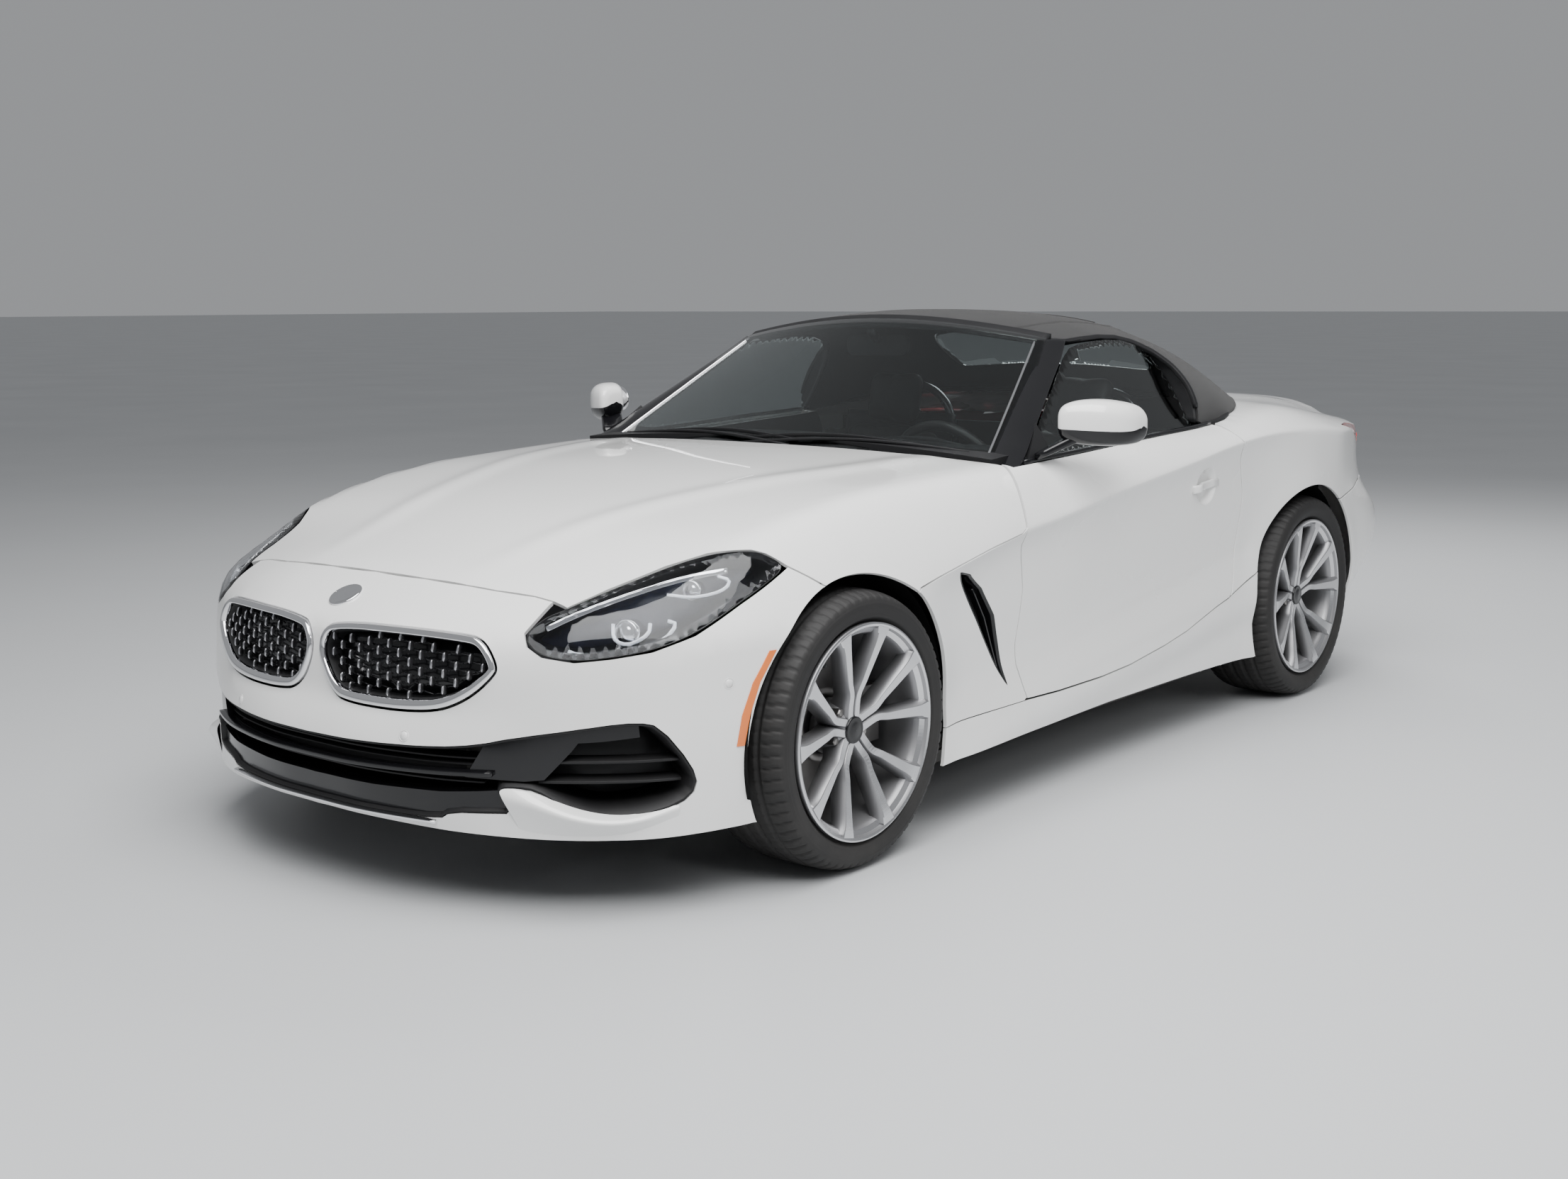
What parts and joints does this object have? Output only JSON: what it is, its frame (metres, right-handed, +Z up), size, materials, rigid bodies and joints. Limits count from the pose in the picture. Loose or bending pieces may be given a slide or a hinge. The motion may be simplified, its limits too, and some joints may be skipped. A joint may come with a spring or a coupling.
{
  "type": "two-seat roadster with a closed fabric roof",
  "caption": "Low two-seat open sports car, white, with a black fabric roof raised; doors, bonnet, boot lid, steering and road wheels all move.",
  "frame": {"origin": "on the floor, midway along and across the car", "axes": "+Z up, the front faces -Y, +X is the car's left"},
  "size_m": [2.016, 4.324, 1.2929],
  "materials": {
    "paint": "gloss white enamel",
    "black_plastic": "grained black plastic",
    "gloss_black": "gloss black",
    "bright_trim": "satin bright trim",
    "lamp_lens": "clear lens over dark lamps",
    "tail_lens": "red lens",
    "window_glass": "tinted safety glass",
    "roof_fabric": "black woven roof cloth",
    "cabin_plastic": "soft black cabin plastic",
    "seat_leather": "black leather",
    "underbody": "dark underbody coating",
    "engine_metal": "cast metal with a black cover",
    "brake_metal": "machined disc and painted caliper",
    "exhaust_steel": "steel",
    "wheel_alloy": "bright machined alloy with grey pockets",
    "tyre": "black rubber"
  },
  "bodies": {
    "body": {"floor_pan": "underbody", "front_bumper": "paint", "front_fenders": "paint", "side_skirts": "paint", "rear_quarters": "paint", "rear_deck": "paint", "rear_bumper": "paint", "diffuser": "black_plastic", "tail_lamps": "tail_lens", "headlamps": "lamp_lens", "kidney_frames": "bright_trim", "kidney_meshes": "gloss_black", "intake_grille": "gloss_black", "windscreen_frame": "black_plastic", "windscreen": "window_glass", "cowl": "black_plastic", "soft_top": "roof_fabric", "rear_window": "window_glass", "dashboard": "cabin_plastic", "seats": "seat_leather", "steering_column": "cabin_plastic", "engine_block": "engine_metal", "front_subframe": "underbody", "rear_axle": "underbody", "exhaust": "exhaust_steel"},
    "bonnet": {"bonnet": "paint"},
    "boot_lid": {"boot_lid": "paint"},
    "door_left": {"door_left": "paint", "door_glass_left": "window_glass", "mirror_left": "paint"},
    "door_right": {"door_right": "paint", "door_glass_right": "window_glass", "mirror_right": "paint"},
    "steering_wheel": {"steering_wheel": "cabin_plastic"},
    "front_upright_left": {"front_hub_carrier_left": "brake_metal"},
    "front_wheel_left": {"front_wheel_left": "wheel_alloy", "front_tyre_left": "tyre"},
    "rear_wheel_left": {"rear_wheel_left": "wheel_alloy", "rear_tyre_left": "tyre"},
    "front_upright_right": {"front_hub_carrier_right": "brake_metal"},
    "front_wheel_right": {"front_wheel_right": "wheel_alloy", "front_tyre_right": "tyre"},
    "rear_wheel_right": {"rear_wheel_right": "wheel_alloy", "rear_tyre_right": "tyre"}
  },
  "joints": [
    {"name": "bonnet_hinge", "type": "hinge", "parent": "body", "child": "bonnet", "pos_m": [0, -0.493, 0.938], "axis": [-1, 0, 0], "range_deg": [0, 50]},
    {"name": "boot_lid_hinge", "type": "hinge", "parent": "body", "child": "boot_lid", "pos_m": [0, 1.284, 1.012], "axis": [1, 0, 0], "range_deg": [0, 70]},
    {"name": "door_left_hinge", "type": "hinge", "parent": "body", "child": "door_left", "pos_m": [0.912, -0.555, 0.6], "axis": [0, 0, -1], "range_deg": [0, 62]},
    {"name": "door_right_hinge", "type": "hinge", "parent": "body", "child": "door_right", "pos_m": [-0.912, -0.555, 0.6], "axis": [0, 0, 1], "range_deg": [0, 62]},
    {"name": "steer_left", "type": "hinge", "parent": "body", "child": "front_upright_left", "pos_m": [0.803, -1.272, 0.331], "axis": [0, 0, 1], "range_deg": [-35, 35]},
    {"name": "steer_right", "type": "hinge", "parent": "body", "child": "front_upright_right", "pos_m": [-0.803, -1.272, 0.331], "axis": [0, 0, 1], "range_deg": [-35, 35]},
    {"name": "steering_wheel_turn", "type": "hinge", "parent": "body", "child": "steering_wheel", "pos_m": [0.372, -0.122, 0.79], "axis": [0, 0.9135, 0.4067], "range_deg": [-490, 490]},
    {"name": "front_wheel_left_spin", "type": "hinge", "parent": "front_upright_left", "child": "front_wheel_left", "pos_m": [0.803, -1.272, 0.331], "axis": [1, 0, 0], "continuous": true},
    {"name": "front_wheel_right_spin", "type": "hinge", "parent": "front_upright_right", "child": "front_wheel_right", "pos_m": [-0.803, -1.272, 0.331], "axis": [1, 0, 0], "continuous": true},
    {"name": "rear_wheel_left_spin", "type": "hinge", "parent": "body", "child": "rear_wheel_left", "pos_m": [0.803, 1.198, 0.337], "axis": [1, 0, 0], "continuous": true},
    {"name": "rear_wheel_right_spin", "type": "hinge", "parent": "body", "child": "rear_wheel_right", "pos_m": [-0.803, 1.198, 0.337], "axis": [1, 0, 0], "continuous": true}
  ],
  "couplings": [
    {"joint": "steer_right", "follows": "steer_left", "ratio": 1},
    {"joint": "steering_wheel_turn", "follows": "steer_left", "ratio": 14}
  ]
}
